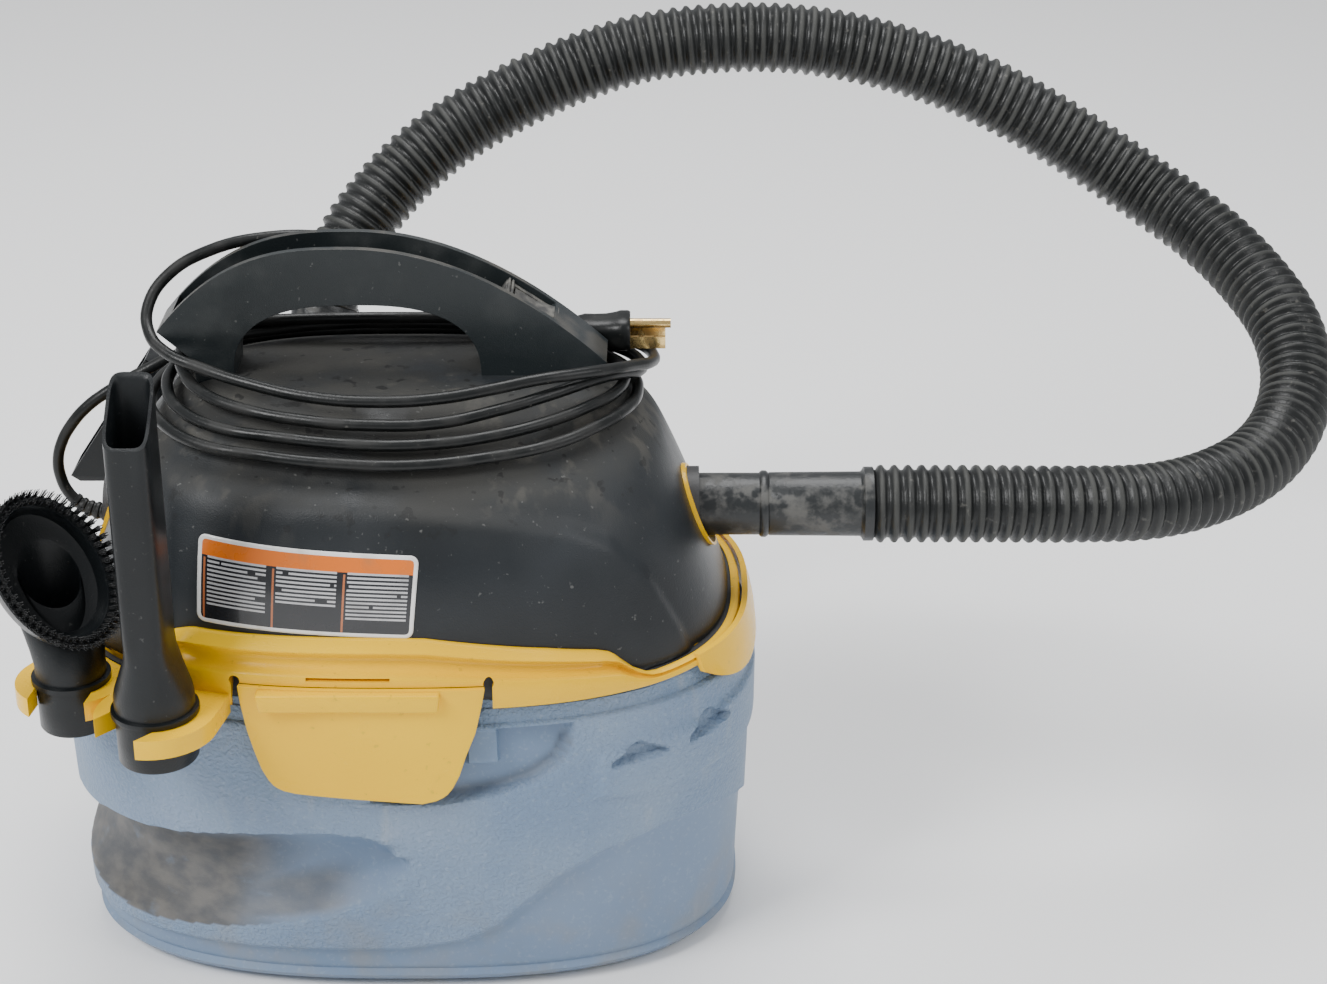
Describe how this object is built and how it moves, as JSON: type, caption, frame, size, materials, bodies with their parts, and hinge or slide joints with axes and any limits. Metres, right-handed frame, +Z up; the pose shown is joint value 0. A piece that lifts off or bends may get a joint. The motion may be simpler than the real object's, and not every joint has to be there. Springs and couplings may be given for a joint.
{
  "type": "shop vacuum",
  "caption": "Compact wet and dry shop vacuum: oval tank, latched motor head with carrying handle, arched suction hose, wound power cord and clipped tools.",
  "frame": {"origin": "middle of the tank footprint on the surface that it stands on", "axes": "+X towards the hose port, +Y towards the back, +Z up"},
  "size_m": [0.6974, 0.4568, 0.4107],
  "materials": {
    "tank_plastic": "satin",
    "yellow_plastic": "gloss",
    "black_plastic": "satin",
    "grey_plastic": "satin",
    "hose_plastic": "satin",
    "cord_rubber": "matte",
    "label": "gloss",
    "foam": "matte",
    "bristle": "matte",
    "steel": "satin",
    "copper": "satin",
    "fan_metal": "satin",
    "plug_brass": "polished"
  },
  "bodies": {
    "tank": {"tank": "tank_plastic"},
    "head": {"lid_ring": "yellow_plastic", "lid_gasket": "cord_rubber", "motor_housing": "black_plastic", "warning_label": "label", "handle": "black_plastic", "power_switch": "black_plastic", "hose_port_ring": "yellow_plastic", "exhaust_port_ring": "yellow_plastic", "inlet_elbow": "black_plastic", "exhaust_duct": "black_plastic", "fan_housing": "grey_plastic", "motor_mount": "steel", "motor_stator": "steel", "brush_holders": "copper", "lower_bearing": "steel", "upper_bearing": "steel", "bearing_bridge": "steel", "filter_cage": "grey_plastic", "foam_filter": "foam", "housing_screws": "steel", "front_tool_fork": "yellow_plastic", "rear_tool_fork": "yellow_plastic", "hose_holder": "yellow_plastic", "cord_gland": "cord_rubber", "cord_lead": "cord_rubber", "cord_winding": "cord_rubber", "plug_body": "cord_rubber", "plug_blades": "plug_brass", "plug_ground_pin": "plug_brass", "hose_port_cuff": "black_plastic", "hose_tube": "hose_plastic", "hose_end_cuff": "black_plastic"},
    "front_latch": {"front_latch": "yellow_plastic"},
    "rear_latch": {"rear_latch": "yellow_plastic"},
    "switch": {"switch_rocker": "grey_plastic"},
    "rotor": {"motor_shaft": "steel", "armature": "copper", "commutator": "copper", "fan_impeller": "fan_metal"},
    "float": {"float_valve": "grey_plastic"},
    "crevice_tool": {"crevice_tool": "black_plastic"},
    "dusting_brush": {"dusting_brush": "black_plastic", "brush_bristles": "bristle"},
    "utility_nozzle": {"utility_nozzle": "black_plastic"}
  },
  "joints": [
    {"name": "head_lift", "type": "slide", "parent": "tank", "child": "head", "axis": [0, 0, 1], "range_m": [0, 0.2]},
    {"name": "front_latch_swing", "type": "hinge", "parent": "head", "child": "front_latch", "pos_m": [-0.012, -0.1255, 0.184], "axis": [-1, 0, 0], "range_deg": [0, 25], "stiffness_Nm_per_rad": 0.5},
    {"name": "rear_latch_swing", "type": "hinge", "parent": "head", "child": "rear_latch", "pos_m": [-0.012, 0.1255, 0.184], "axis": [1, 0, 0], "range_deg": [0, 25], "stiffness_Nm_per_rad": 0.5},
    {"name": "switch_rock", "type": "hinge", "parent": "head", "child": "switch", "pos_m": [0.06764, 0, 0.32788], "axis": [0, 1, 0], "range_deg": [0, 16]},
    {"name": "rotor_spin", "type": "hinge", "parent": "head", "child": "rotor", "pos_m": [-0.02, 0, 0.22], "axis": [0, 0, 1], "continuous": true},
    {"name": "float_lift", "type": "slide", "parent": "head", "child": "float", "axis": [0, 0, 1], "range_m": [0, 0.028]},
    {"name": "crevice_tool_pull", "type": "slide", "parent": "head", "child": "crevice_tool", "axis": [0, 0, 1], "range_m": [0, 0.12]},
    {"name": "dusting_brush_pull", "type": "slide", "parent": "head", "child": "dusting_brush", "axis": [0, 0, 1], "range_m": [0, 0.08]},
    {"name": "utility_nozzle_pull", "type": "slide", "parent": "head", "child": "utility_nozzle", "axis": [0, 0, 1], "range_m": [0, 0.08]}
  ]
}
